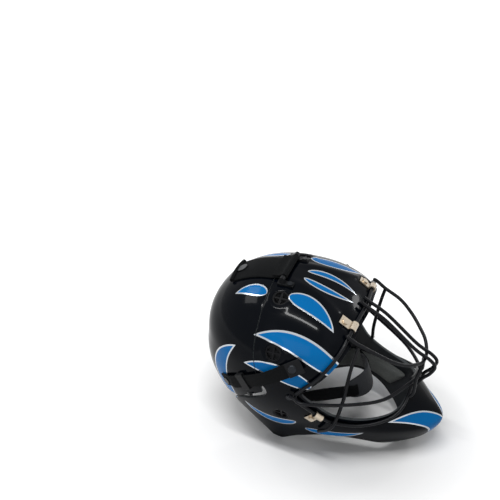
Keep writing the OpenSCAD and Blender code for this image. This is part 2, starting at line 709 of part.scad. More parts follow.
// Things that ride on a strap: X along it, Z outward, origin in the middle of the strap
module on_strap(a, b) {
    x = unit(b - a);
    mid = (a + b) / 2;
    n = form_normal(mid);
    z = unit(n - x * (n * x));
    y = cross(z, x);
    multmatrix([
        [x[0], y[0], z[0], mid[0]],
        [x[1], y[1], z[1], mid[1]],
        [x[2], y[2], z[2], mid[2]],
        [0, 0, 0, 1]
    ]) children();
}
module side_tabs() color("#0e0f11") in_frame() both_sides()
    on_strap(side_path[0], side_path[1])
        translate([-tab_len / 2, -strap_w / 2 - 0.5, strap_t / 2 + 0.4]) cube([tab_len, strap_w + 1, 2]);
module side_snaps() color("#c9cacb") in_frame() both_sides()
    on_strap(side_path[0], side_path[1]) translate([3, 0, strap_t / 2 + 2.5])
        cylinder(h = 1.6, r1 = 6, r2 = 4.6, $fn = 20);
module side_studs() color("#c9cacb") in_frame() both_sides()
    seated(stud_seat, [0, 1, 0]) rivet(0.1, -shell_t - 0.5, 9, 0.5);
slider_len = 13;
module slider_left() color("#0e0f11") in_frame() on_strap(run_a, run_b) difference() {
    translate([-slider_len / 2, -strap_w / 2 - 3, -strap_t / 2 - 1.5])
        cube([slider_len, strap_w + 6, strap_t + 3.4]);
    translate([-slider_len / 2 - 1, -strap_w / 2 - 0.35, -strap_t / 2 - 0.35])
        cube([slider_len + 2, strap_w + 0.7, strap_t + 0.7]);
}
module slider_right() mirror([1, 0, 0]) slider_left();

shell();
back_plate();
vent_grilles();
cage_frame();
cage_centre_bars();
cage_brow_bow();
cage_uprights();
cage_cheek_bow();
cage_nose_arch();
brow_clips();
jaw_clips();
clip_screws();
clip_nuts();
forehead_pad();
crown_pad();
temple_pad_right();
temple_pad_left();
cheek_pad_right();
cheek_pad_left();
chin_pad();
back_pad();
chin_cup();
cup_strap_right();
cup_strap_left();
cup_rivets();
top_loop();
loop_screws();
top_strap();
top_snap();
side_strap_right();
side_strap_left();
side_tabs();
side_snaps();
side_studs();
strap_rivets();
slider_right();
slider_left();
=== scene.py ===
"""Hockey goalie mask: moulded shell, cage, lining and harness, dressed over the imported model."""
import math

import bmesh
import bpy
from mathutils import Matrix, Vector


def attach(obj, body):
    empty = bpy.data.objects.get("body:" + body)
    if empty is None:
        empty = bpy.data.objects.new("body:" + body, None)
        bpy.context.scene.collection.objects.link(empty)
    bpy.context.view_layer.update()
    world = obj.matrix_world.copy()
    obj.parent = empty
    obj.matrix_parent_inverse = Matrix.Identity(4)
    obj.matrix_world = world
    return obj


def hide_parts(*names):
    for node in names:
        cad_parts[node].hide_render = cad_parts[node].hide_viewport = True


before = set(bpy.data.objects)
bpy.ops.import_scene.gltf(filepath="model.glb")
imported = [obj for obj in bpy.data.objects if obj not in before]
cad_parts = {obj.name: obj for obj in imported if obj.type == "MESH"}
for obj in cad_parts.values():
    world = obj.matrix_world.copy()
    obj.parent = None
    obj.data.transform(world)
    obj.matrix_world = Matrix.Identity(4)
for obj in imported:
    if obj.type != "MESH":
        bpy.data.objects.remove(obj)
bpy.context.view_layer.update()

bl_info = {
    "name": "Goalie mask",
    "version": (1, 0, 0),
    "blender": (4, 5, 0),
    "location": "View3D > Sidebar > Mask",
    "description": "Models and finishes a hockey goalie mask over its packed solids",
    "category": "Object",
}

MM = 0.001
FRAME_Y = 12.57

# --- The moulded form, in millimetres, as the solids have it ---
SHELL_W, SHELL_H, TEMPLE_Z = 224.0, 241.0, 150.0
FRONT_DEPTH, WIDE_Y, REAR_REACH = 112.0, 22.0, 154.0
FOOT_W, CHIN_REACH = 134.0, 181.0
SHELL_T, PLATE_T = 4.0, 3.5
CORE = (0.0, 25.0, 120.0)
CORE_MID_Y = CORE[1] + 22.0
FORM_P = 2.05
PLAN_P, FOOT_P = 2.1, 1.62
CROWN_P_GAIN, CROWN_SPAN = 0.4, 40
SEARCH_FROM, SEARCH_TO, SEARCH_STEPS = 20.0, 330.0, 18
CROWN_CAP = 8
FRONT_LINE = [
    (0, -CHIN_REACH + 44), (22, -CHIN_REACH + 15), (52, -CHIN_REACH), (73, -CHIN_REACH + 19),
    (94, -CHIN_REACH + 41), (122, -CHIN_REACH + 67), (TEMPLE_Z, WIDE_Y - FRONT_DEPTH),
]
REAR_LINE = [
    (0, REAR_REACH - 64), (30, REAR_REACH - 36), (60, REAR_REACH - 15),
    (92, REAR_REACH - 2), (120, REAR_REACH + 2), (TEMPLE_Z, REAR_REACH),
]
SHELL_ROWS = [
    ((0, -62, 198), (0, 56, 241)), ((40, -58, 195), (46, 58, 232)), ((75, -48, 175), (86, 58, 210)),
    ((95, -32, 152), (106, 56, 176)), ((103, -18, 138), (108, 48, 140)),
    ((105, -11, 129), (100, 38, 112)), ((103, -17, 119), (80, 96, 62)), ((98, -28, 108), (82, 78, 28)),
    ((92, -38, 97), (68, 40, -7)), ((86, -52, 87), (74, 0, 18)), ((75, -82, 80), (72, -38, 38)),
    ((54, -112, 84), (58, -78, 34)), ((28, -140, 93), (26, -116, 10)), ((0, -152, 98), (0, -130, -6)),
]
PLATE_ROWS = [
    ((0, 56, 241), (0, 146, 56)), ((46, 58, 232), (28, 141, 56)), ((86, 58, 210), (50, 130, 56)),
    ((106, 56, 176), (66, 114, 60)), ((108, 49, 146), (78, 97, 72)), ((104, 43, 126), (87, 79, 83)),
    ((101, 41, 116), (95, 57, 103)),
]
SEAM_GAP = 1.4
LAST_ROW = len(SHELL_ROWS) - 1
VENTS = [(50, 40, 232), (104, 30, 184), (90, 20, 78)]
VENT_R = 11.0


def metres(p):
    """A point of the form, given in millimetres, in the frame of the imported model."""
    return Vector((p[0], p[1] + FRAME_Y, p[2])) * MM


def lerp(a, b, t):
    return a + (b - a) * t


def clamp(v, lo, hi):
    return max(lo, min(hi, v))


def smooth_at(points, t):
    """Value of a smooth curve through evenly counted points at t."""
    last = len(points) - 1
    i = int(clamp(math.floor(t), 0, last - 1))
    u = t - i
    near = points[max(i - 1, 0)], points[i], points[i + 1], points[min(i + 2, last)]
    a, b, c, d = near if isinstance(near[1], (int, float)) else map(Vector, near)
    return b + 0.5 * u * (c - a + u * (2 * a - 5 * b + 4 * c - d + u * (3 * (b - c) + d - a)))


def line_at(pairs, z):
    i = max(k for k in range(len(pairs) - 1) if k == 0 or z >= pairs[k][0])
    u = clamp((z - pairs[i][0]) / (pairs[i + 1][0] - pairs[i][0]), 0, 1)
    return smooth_at([p[1] for p in pairs], i + u)


def dome(z):
    share = clamp((z - TEMPLE_Z) / (SHELL_H - TEMPLE_Z), 0, 1)
    return max(1 - share ** FORM_P, 0.00001) ** (1 / FORM_P)


def half_width(z):
    if z > TEMPLE_Z:
        return SHELL_W / 2 * dome(z)
    return lerp(FOOT_W / 2, SHELL_W / 2, math.sin(math.pi / 2 * max(z, 0) / TEMPLE_Z) ** 1.15)


def level_lines(z):
    """Front, middle and rear of the plan at height z."""
    if z > TEMPLE_Z:
        d = dome(z)
        return (lerp(CORE_MID_Y, WIDE_Y - FRONT_DEPTH, d), lerp(CORE_MID_Y, WIDE_Y, d),
                lerp(CORE_MID_Y, REAR_REACH, d))
    return line_at(FRONT_LINE, max(z, 0)), WIDE_Y, line_at(REAR_LINE, max(z, 0))


def fullness(p):
    x, y, z = p
    if z >= SHELL_H:
        return 2
    front, mid, rear = level_lines(z)
    power = PLAN_P
    if y <= mid:
        power = lerp(FOOT_P, PLAN_P, clamp(z / TEMPLE_Z, 0, 1) ** 1.3)
        power += CROWN_P_GAIN * clamp((z - TEMPLE_Z) / CROWN_SPAN, 0, 1)
    reach = mid - front if y < mid else rear - mid
    return (abs(x) / half_width(z)) ** power + (abs(y - mid) / max(reach, 0.01)) ** power


def on_form(p):
    """Point of the form in the direction of p from the core."""
    core = Vector(CORE)
    way = (Vector(p) - core).normalized()
    lo, hi = SEARCH_FROM, SEARCH_TO
    for _ in range(SEARCH_STEPS):
        mid = (lo + hi) / 2
        if fullness(core + way * mid) < 1:
            lo = mid
        else:
            hi = mid
    return core + way * (lo + hi) / 2


def normal_at(p):
    """Outward direction of the form at p, by small steps; over the crown by steps along the form."""
    p = Vector(p)
    crown = p.z > SHELL_H - CROWN_CAP
    e = 3.0 if crown else 1.2
    steps = [Vector((e, 0, 0)), Vector((0, e, 0)), Vector((0, 0, e))]
    if crown:
        a, b = (on_form(p + s) - on_form(p - s) for s in steps[:2])
        return a.cross(b).normalized()
    return Vector([fullness(p + s) - fullness(p - s) for s in steps]).normalized()


def raised(p, h):
    return Vector(p) + normal_at(p) * h


def strip_point(rows, t, s):
    return on_form(smooth_at([r[0] for r in rows], t).lerp(smooth_at([r[1] for r in rows], t), s))


def mirrored(p):
    return Vector((-p[0], p[1], p[2]))


# --- The cage's wire lines ---
WIRE_D, WIRE_GAP, WELD_GAP, FRAME_INSET = 4.8, 0.45, 0.12, 9.0
WIRE_R = WIRE_D / 2
LAYER = WIRE_D + WELD_GAP
BAR_PITCH, CAGE_REACH, BEND_Z = 12.0, 162.0, 142.0


def frame_out(t):
    return FRAME_INSET if t < 10 else lerp(FRAME_INSET, -WIRE_D - 1.5, (t - 10) / (LAST_ROW - 10))


def frame_at(t, lift=0.0):
    rim = strip_point(SHELL_ROWS, t, 0)
    foot = rim + (strip_point(SHELL_ROWS, t, 0.12) - rim).normalized() * frame_out(t)
    seat = on_form(foot) if frame_out(t) > 0 else foot
    return raised(seat, WIRE_R + WIRE_GAP + lift * LAYER)


def v(*c):
    return Vector(c)


def cage_lines():
    """Control points of each wire, as the solids have them."""
    foot_ref = frame_at(12.55)
    bar_foot = v(0, foot_ref.y, foot_ref.z + 1) + v(0, -0.9, -0.4).normalized() * (LAYER + 0.4)
    bar_top = frame_at(0, 1)
    bar = [
        bar_top + v(0, 8, 5), bar_top, bar_top + v(0, -26, -15), v(0, -CAGE_REACH + 30, BEND_Z + 22),
        v(0, -CAGE_REACH + 8, BEND_Z + 9), v(0, -CAGE_REACH, BEND_Z - 1), v(0, -CAGE_REACH + 5, BEND_Z - 14),
        bar_foot + v(0, -8, 15), bar_foot + v(0, -1.2, 2.6), bar_foot + v(0, 0.6, -1.6),
    ]
    hub = smooth_at(bar, 3.75) + v(0, 0.5, -0.87).normalized() * LAYER
    bow_side = v(64, -72, 197)
    bow = [
        hub, hub + v(14, 2, 0.5), v(28, hub.y + 8, 156), v(41, -129, 162), v(53, -114, 173),
        v(61, -95, 186), bow_side, frame_at(1.4, 1.08), frame_at(1.37, 1.1) + v(0, 5, 2),
    ]
    upright = [
        bow_side + v(0.05, 0.12, -1).normalized() * (WIRE_R + 0.45), v(66, -68, 178), v(67, -64, 155),
        v(67, -60, 125), v(74, -58, 102), frame_at(9, 1.3),
        raised(strip_point(SHELL_ROWS, 9, 0.46), WIRE_R + WIRE_GAP + 0.7),
    ]
    mouth_hub = smooth_at(bar, 7) + v(0, 0.9, 0.2).normalized() * LAYER
    cheek = [
        mouth_hub, mouth_hub + v(20, 7, 0), v(60, -109, 112), v(92, -66, 116),
        frame_at(4.9, 1) + v(2, -14, -2), frame_at(4.9, 1), frame_at(4.8, 1) + v(0, 8, 2),
    ]
    arch_top = hub + v(0, 0.3, -0.95).normalized() * LAYER
    arch = [
        arch_top, arch_top + v(9, 0, -2), v(19, -144, 134), mouth_hub + v(22, 1, 8),
        frame_at(12.1, 1) + v(0, -3, 6), frame_at(12.1, 1) + v(1, 1, -2),
    ]
    return bar, bow, upright, cheek, arch


def smooth_path(points, steps):
    return [smooth_at(points, i * (len(points) - 1) / steps) for i in range(steps + 1)]


def both_halves(half):
    return [mirrored(p) for p in reversed(half[1:])] + list(half)


# --- Modelling helpers ---
def deselect():
    if bpy.context.object and bpy.context.object.mode != "OBJECT":
        bpy.ops.object.mode_set(mode="OBJECT")
    bpy.ops.object.select_all(action="DESELECT")


def activate(obj):
    deselect()
    obj.select_set(True)
    bpy.context.view_layer.objects.active = obj


def named(name):
    obj = bpy.context.object
    obj.name = name
    obj.data.name = name
    return obj


MERGE = (bpy.ops.mesh.remove_doubles, {"threshold": 0.00001})
FLIP = (bpy.ops.mesh.flip_normals, {})
OUTWARD = (bpy.ops.mesh.normals_make_consistent, {"inside": False})


def edit(obj, *steps):
    """Runs mesh steps on the whole of a piece in edit mode."""
    activate(obj)
    bpy.ops.object.mode_set(mode="EDIT")
    bpy.ops.mesh.select_all(action="SELECT")
    for step, settings in steps:
        step(**settings)
    bpy.ops.object.mode_set(mode="OBJECT")


def finish_with(obj, kind, **settings):
    """Adds a modifier, sets it and applies it."""
    activate(obj)
    bpy.ops.object.modifier_add(type=kind)
    mod = obj.modifiers[-1]
    for key, value in settings.items():
        setattr(mod, key, value)
    bpy.ops.object.modifier_apply(modifier=mod.name)


def smooth(obj, angle=35):
    activate(obj)
    bpy.ops.object.shade_smooth_by_angle(angle=math.radians(angle))


def paint(obj, *materials):
    obj.data.materials.clear()
    for m in materials:
        obj.data.materials.append(m)
    return obj


def seat(obj, body, slot, *nodes):
    """The piece rides on a body and stands for the nodes named; the slot is not used."""
    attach(obj, body)
    if nodes:
        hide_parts(*nodes)
    return obj


def sheet_of_points(name, rows, closed=False):
    """A grid primitive whose vertices are placed on rows of points in millimetres."""
    n, m = len(rows), len(rows[0])
    deselect()
    bpy.ops.mesh.primitive_grid_add(x_subdivisions=n - 1, y_subdivisions=m - 1, size=2)
    obj = named(name)
    uv = obj.data.uv_layers.active.data
    run = [0.0]
    for i in range(1, n):
        run.append(run[-1] + (Vector(rows[i][m // 2]) - Vector(rows[i - 1][m // 2])).length * MM)
    breadth = sum((Vector(rows[0][j]) - Vector(rows[0][j - 1])).length for j in range(1, m)) * MM
    index = {}
    for vert in obj.data.vertices:
        i = round((vert.co.x + 1) / 2 * (n - 1))
        j = round((vert.co.y + 1) / 2 * (m - 1))
        index[vert.index] = (i, j)
        vert.co = metres(rows[i][j])
    for loop in obj.data.loops:
        i, j = index[loop.vertex_index]
        uv[loop.index].uv = (breadth * j / (m - 1), run[i])
    if closed:
        edit(obj, MERGE)
    return obj


def face_out(obj, inside_mm):
    """Turns an open sheet's faces away from a point inside."""
    inside = metres(inside_mm)
    total = sum((f.center - inside).dot(f.normal) for f in obj.data.polygons)
    if total < 0:
        edit(obj, FLIP)


def tube(name, points, diameter_mm, closed, rings):
    """A round wire along points in millimetres, made as a curve and turned into a mesh."""
    deselect()
    bpy.ops.curve.primitive_nurbs_path_add()
    obj = named(name)
    curve = obj.data
    curve.splines.clear()
    spline = curve.splines.new("POLY")
    spline.points.add(len(points) - 1)
    for point, p in zip(spline.points, points):
        point.co = (*metres(p), 1)
    spline.use_cyclic_u = closed
    curve.dimensions = "3D"
    curve.bevel_depth = diameter_mm / 2 * MM
    curve.bevel_resolution = rings
    curve.use_fill_caps = not closed
    obj.location = (0, 0, 0)
    activate(obj)
    bpy.ops.object.convert(target="MESH")
    obj = bpy.context.object
    edit(obj, MERGE, OUTWARD)
    smooth(obj, 50)
    return obj


def join(name, *objs):
    deselect()
    for o in objs:
        o.select_set(True)
    bpy.context.view_layer.objects.active = objs[0]
    if len(objs) > 1:
        bpy.ops.object.join()
    return named(name)


def mirror_copy(obj, name):
    """A copy on the other side of the mid plane, with its own mesh."""
    activate(obj)
    bpy.ops.object.duplicate()
    copy = named(name)
    copy.scale = (-1, 1, 1)
    activate(copy)
    bpy.ops.object.transform_apply(location=True, rotation=True, scale=True)
    edit(copy, FLIP)
    return copy


def dress(node, material, bevel):
    """A CAD node keeps its solid and gets a finish and softened edges."""
    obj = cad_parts[node]
    paint(obj, material)
    for face in obj.data.polygons:
        face.use_smooth = True
    weld = obj.modifiers.new("Weld", "WELD")
    weld.merge_threshold = 0.000005
    edge = obj.modifiers.new("Softened edges", "BEVEL")
    edge.width = bevel
    edge.segments = 2
    edge.limit_method = "ANGLE"
    edge.angle_limit = math.radians(38)
    weighted = obj.modifiers.new("Shading", "WEIGHTED_NORMAL")
    weighted.keep_sharp = True


# --- Materials ---
def group(name, inputs, outputs):
    """An empty node group with named sockets; returns it with its input and output nodes."""
    tree = bpy.data.node_groups.new(name, "ShaderNodeTree")
    for label, kind, default in inputs:
        socket = tree.interface.new_socket(label, in_out="INPUT", socket_type=kind)
        socket.default_value = default
    for label, kind in outputs:
        tree.interface.new_socket(label, in_out="OUTPUT", socket_type=kind)
    return tree, tree.nodes.new("NodeGroupInput"), tree.nodes.new("NodeGroupOutput")


def node(tree, kind, **settings):
    made = tree.nodes.new(kind)
    for key, value in settings.items():
        setattr(made, key, value)
    return made


def feed(tree, target, value):
    """Links a socket or sets a plain value."""
    if isinstance(value, bpy.types.NodeSocket):
        tree.links.new(value, target)
    elif value is not None:
        target.default_value = value


def fill(tree, made, **values):
    """Feeds a node's sockets by name, an underscore for a space, and returns the node."""
    for label, value in values.items():
        feed(tree, made.inputs[label.replace("_", " ")], value)
    return made


def sums(tree, operation, a, b=None, c=None, clamped=False):
    made = node(tree, "ShaderNodeMath", operation=operation, use_clamp=clamped)
    for socket, value in zip(made.inputs, (a, b, c)):
        feed(tree, socket, value)
    return made.outputs[0]


def mix(tree, factor, a, b):
    made = fill(tree, node(tree, "ShaderNodeMix", data_type="RGBA"), Factor=factor)
    feed(tree, made.inputs[6], a)
    feed(tree, made.inputs[7], b)
    return made.outputs[2]


def noise(tree, vector, scale, detail=3.0, rough=0.55):
    made = node(tree, "ShaderNodeTexNoise")
    return fill(tree, made, Vector=vector, Scale=scale, Detail=detail, Roughness=rough).outputs["Fac"]


def band(tree, value, low, high, to_low=0.0, to_high=1.0):
    made = node(tree, "ShaderNodeMapRange", interpolation_type="SMOOTHSTEP")
    fill(tree, made, Value=value, From_Min=low, From_Max=high, To_Min=to_low, To_Max=to_high)
    return made.outputs["Result"]


def place(tree, node_group, **values):
    return fill(tree, node(tree, "ShaderNodeGroup", node_tree=node_group), **values)


def parted(tree, vector):
    """The three parts of a vector."""
    return fill(tree, node(tree, "ShaderNodeSeparateXYZ"), Vector=vector).outputs


def length(tree, vector):
    made = node(tree, "ShaderNodeVectorMath", operation="LENGTH")
    feed(tree, made.inputs[0], vector)
    return made.outputs["Value"]


def coordinates(tree):
    """The piece's own coordinates."""
    return node(tree, "ShaderNodeTexCoord").outputs["Object"]


def wear_group():
    """Handling marks: fine dust and faint rubbed patches."""
    tree, inp, out = group("Handling marks", [
        ("Scale", "NodeSocketFloat", 60.0), ("Amount", "NodeSocketFloat", 0.3),
    ], [("Mask", "NodeSocketFloat"), ("Height", "NodeSocketFloat")])
    where = coordinates(tree)
    coarse = fill(tree, node(tree, "ShaderNodeTexNoise"), Vector=where, Scale=inp.outputs["Scale"], Detail=5)
    patches = band(tree, coarse.outputs["Fac"], 0.48, 0.72)
    fine = noise(tree, where, 900, 2)
    grain = sums(tree, "MULTIPLY", patches, fine)
    fill(tree, out, Mask=sums(tree, "MULTIPLY", grain, inp.outputs["Amount"]), Height=fine)
    return tree


LICK_ROOT, LICK_TIP, LICK_BELLY, LICK_TRIM = 0.5, 0.85, 2.35, 0.0003


def lick_group():
    """Depth inside a tapered lick that bends round a centre, from its full root to its tip."""
    tree, inp, out = group("Lick", [
        ("Place", "NodeSocketVector", (0, 0, 0)), ("Centre", "NodeSocketVector", (0, 0, 0)),
        ("Radius", "NodeSocketFloat", 0.05), ("Start", "NodeSocketFloat", 0.0),
        ("Sweep", "NodeSocketFloat", 1.5), ("Turn", "NodeSocketFloat", 1.0),
        ("Half width", "NodeSocketFloat", 0.01),
    ], [("Depth", "NodeSocketFloat")])
    arm = node(tree, "ShaderNodeVectorMath", operation="SUBTRACT")
    feed(tree, arm.inputs[0], inp.outputs["Place"])
    feed(tree, arm.inputs[1], inp.outputs["Centre"])
    x, y, _ = parted(tree, arm.outputs[0])
    angle = sums(tree, "ARCTAN2", y, x)
    turned = sums(tree, "MULTIPLY", sums(tree, "SUBTRACT", angle, inp.outputs["Start"]), inp.outputs["Turn"])
    ahead = sums(tree, "WRAP", turned, math.tau - 0.6, -0.6)
    share = sums(tree, "DIVIDE", ahead, inp.outputs["Sweep"], clamped=True)
    left = sums(tree, "SUBTRACT", 1.0, share)
    belly = sums(tree, "MULTIPLY", sums(tree, "POWER", share, LICK_ROOT), sums(tree, "POWER", left, LICK_TIP))
    wide = sums(tree, "MULTIPLY", belly, sums(tree, "MULTIPLY", inp.outputs["Half width"], LICK_BELLY))
    off = sums(tree, "ABSOLUTE", sums(tree, "SUBTRACT", length(tree, arm.outputs[0]), inp.outputs["Radius"]))
    depth = sums(tree, "SUBTRACT", sums(tree, "SUBTRACT", wide, off), LICK_TRIM)
    fill(tree, out, Depth=depth)
    return tree


def weave_group():
    """Plain woven webbing read from the piece's own UV map, in metres; its Shade is painted shade, darker in
    the weave's hollows and lighter on its raised threads.
    """
    tree, inp, out = group("Webbing weave", [
        ("Ribs", "NodeSocketFloat", 900.0), ("Picks", "NodeSocketFloat", 700.0),
    ], [("Height", "NodeSocketFloat"), ("Shade", "NodeSocketFloat")])
    across, along, _ = parted(tree, node(tree, "ShaderNodeTexCoord").outputs["UV"])
    ribs, picks = (
        sums(tree, "SINE", sums(tree, "MULTIPLY", way, sums(tree, "MULTIPLY", inp.outputs[count], math.tau)))
        for way, count in ((across, "Ribs"), (along, "Picks")))
    cross = sums(tree, "MULTIPLY", ribs, picks)
    height = sums(tree, "ADD", sums(tree, "MULTIPLY", cross, 0.35), sums(tree, "MULTIPLY", ribs, 0.3))
    # Shade is painted shade and highlight on the weave: low in its hollows, high on its raised threads
    fill(tree, out, Height=sums(tree, "ADD", height, 0.5), Shade=band(tree, height, -0.6, 0.6, 0.55, 1.15))
    return tree


GROUPS = {}


def shared(name):
    makers = {"wear": wear_group, "lick": lick_group, "weave": weave_group}
    if name not in GROUPS:
        GROUPS[name] = makers[name]()
    return GROUPS[name]


def new_material(name):
    mat = bpy.data.materials.new(name)
    mat.use_nodes = True
    tree = mat.node_tree
    return mat, tree, tree.nodes["Principled BSDF"]


def bump(tree, shader, height, distance, strength):
    made = fill(tree, node(tree, "ShaderNodeBump"), Distance=distance, Strength=strength, Height=height)
    fill(tree, shader, Normal=made.outputs["Normal"])


def rgb(*c):
    return (*c, 1.0)


# Licks on the sides: centre y, z and radius in metres, start and sweep in degrees, turn, half width
SIDE_LICKS = [
    (0.042, 0.098, 0.104, 148, 76, -1, 0.0125), (0.052, 0.062, 0.100, 128, 56, -1, 0.0130),
    (0.050, 0.118, 0.074, -45, 96, 1, 0.0140), (-0.032, 0.131, 0.090, 292, 52, -1, 0.0085),
    (0.044, 0.109, 0.056, 236, 86, 1, 0.0088),
]
# Licks on the crown, as x, y
CROWN_LICKS = [
    (0.1456, 0.0357, 0.100, 176, 42, 1, 0.0125), (-0.088, 0.000, 0.102, 20, 40, -1, 0.0065),
    (0.100, 0.098, 0.058, 206, 46, -1, 0.0095),
]
# Licks on the chin, as x, z
CHIN_LICKS = [(0.052, 0.026, 0.046, 186, 104, -1, 0.0130)]
# Each set keeps to the part of the shell that faces its plane: widths above, heights above, y below
SIDE_FROM, CROWN_FROM, CHIN_TO = 0.050, 0.198, -0.096
OUTLINE_W, PAINT_EDGE = 0.0019, 0.00025


def lacquer_material(name, colours):
    """Gloss black lacquer with licks that have a silver outline."""
    mat, tree, shader = new_material(name)
    where = coordinates(tree)
    x, y, z = parted(tree, where)
    wide = sums(tree, "ABSOLUTE", x)

    def plane(a, b):
        return fill(tree, node(tree, "ShaderNodeCombineXYZ"), X=a, Y=b).outputs[0]

    def deepest(spot, licks):
        depth = None
        for a, b, radius, start, sweep, turn, half in licks:
            made = place(tree, shared("lick"), Place=spot, Centre=(a, b, 0), Radius=radius,
                         Start=math.radians(start), Sweep=math.radians(sweep), Turn=turn, Half_width=half)
            depth = made.outputs[0] if depth is None else sums(tree, "MAXIMUM", depth, made.outputs[0])
        return depth

    side = sums(tree, "MINIMUM", deepest(plane(y, z), SIDE_LICKS), sums(tree, "SUBTRACT", wide, SIDE_FROM))
    crown = sums(tree, "MINIMUM", deepest(plane(wide, y), CROWN_LICKS), sums(tree, "SUBTRACT", z, CROWN_FROM))
    chin = sums(tree, "MINIMUM", deepest(plane(wide, z), CHIN_LICKS), sums(tree, "SUBTRACT", CHIN_TO, y))
    depth = sums(tree, "MAXIMUM", sums(tree, "MAXIMUM", side, crown), chin)
    outline = band(tree, depth, 0.0, PAINT_EDGE)
    inner = band(tree, depth, OUTLINE_W, OUTLINE_W + PAINT_EDGE)
    drift = noise(tree, where, 7, 2)
    blue = mix(tree, drift, colours["lick_deep"], colours["lick"])
    flake = noise(tree, where, 4200, 1)
    silver = mix(tree, flake, rgb(0.36, 0.39, 0.42), rgb(0.62, 0.65, 0.68))
    marks = place(tree, shared("wear"), Scale=26.0, Amount=0.05)
    black = mix(tree, marks.outputs["Mask"], colours["shell"], rgb(0.09, 0.09, 0.10))
    painted = mix(tree, outline, black, silver)
    painted = mix(tree, inner, painted, blue)
    ring = sums(tree, "SUBTRACT", outline, inner, clamped=True)
    rough = sums(tree, "ADD", sums(tree, "MULTIPLY", marks.outputs["Mask"], 1.4), 0.16)
    fill(tree, shader, Base_Color=painted, Metallic=sums(tree, "MULTIPLY", ring, 0.75), Roughness=rough,
         Coat_Weight=0.08, Coat_Roughness=0.03, IOR=1.5, Specular_IOR_Level=0.02)
    peel = noise(tree, where, 260, 2, 0.4)
    film = sums(tree, "ADD", sums(tree, "MULTIPLY", peel, 0.35), sums(tree, "MULTIPLY", outline, 0.5))
    bump(tree, shader, film, 0.00012, 0.5)
    return mat


def grained_material(name, colour, rough, grain_scale, depth, spread=0.25, metallic=0.0, marks=0.3, coat=0.0,
                     level=0.3):
    """Plain moulded, coated or plated finish with grain and handling marks."""
    mat, tree, shader = new_material(name)
    where = coordinates(tree)
    worn = place(tree, shared("wear"), Scale=70.0, Amount=marks)
    tone = noise(tree, where, 35, 4)
    dark = rgb(*(c * (1 - spread) for c in colour[:3]))
    light = rgb(*(min(c * (1 + spread), 1) for c in colour[:3]))
    base = mix(tree, tone, dark, light)
    base = mix(tree, worn.outputs["Mask"], base, rgb(*(min(c * 1.5 + 0.06, 1) for c in colour[:3])))
    fine = noise(tree, where, grain_scale, 3)
    gloss = band(tree, fine, 0.25, 0.75, rough * 0.8, min(rough * 1.25, 1))
    fill(tree, shader, Base_Color=base, Roughness=gloss, Metallic=metallic, Coat_Weight=coat,
         Specular_IOR_Level=level)
    bump(tree, shader, fine, depth, 0.6)
    return mat


def cloth_material(name, colour, knit=1500.0, depth=0.00025, sheen=0.3):
    """Knitted or brushed face of foam padding, with painted shade in the knit's hollows and lighter raised
    cells.
    """
    mat, tree, shader = new_material(name)
    where = coordinates(tree)
    cells = fill(tree, node(tree, "ShaderNodeTexVoronoi"), Vector=where, Scale=knit)
    soft = noise(tree, where, 60, 4)
    height = sums(tree, "ADD", sums(tree, "MULTIPLY", cells.outputs["Distance"], 0.7),
                  sums(tree, "MULTIPLY", noise(tree, where, knit * 1.7, 2), 0.4))
    dark = rgb(*(c * 0.62 for c in colour[:3]))
    light = rgb(*(min(c * 1.22, 1) for c in colour[:3]))
    # Painted shade: the colour follows the bump height, darker in the knit's hollows and lighter on its
    # raised cells
    base = mix(tree, band(tree, height, 0.1, 0.7), dark, light)
    base = mix(tree, band(tree, soft, 0.35, 0.75, 0.0, 0.35), base, dark)
    fill(tree, shader, Base_Color=base, Roughness=0.9, Sheen_Weight=sheen, Sheen_Roughness=0.5)
    bump(tree, shader, height, depth, 0.8)
    return mat


def webbing_material(name, colour):
    mat, tree, shader = new_material(name)
    weave = place(tree, shared("weave"), Ribs=620.0, Picks=430.0)
    where = coordinates(tree)
    fuzz = noise(tree, where, 2600, 2)
    # Painted shade from the weave, darker in its hollows and lighter on its raised threads, with random fuzz
    # in the tone
    painted_shade = sums(tree, "MULTIPLY", weave.outputs["Shade"], band(tree, fuzz, 0.2, 0.8, 0.8, 1.2))
    dark = rgb(*(c * 0.35 for c in colour[:3]))
    base = mix(tree, band(tree, painted_shade, 0.45, 1.25), dark, rgb(*(min(c * 1.5, 1) for c in colour[:3])))
    fill(tree, shader, Base_Color=base, Roughness=0.82, Specular_IOR_Level=0.06, Sheen_Weight=0.01)
    bump(tree, shader, weave.outputs["Height"], 0.00035, 0.9)
    return mat


MATERIALS = {}


def finish_of(name):
    if name not in MATERIALS:
        MATERIALS[name] = MAKERS[name]()
    return MATERIALS[name]


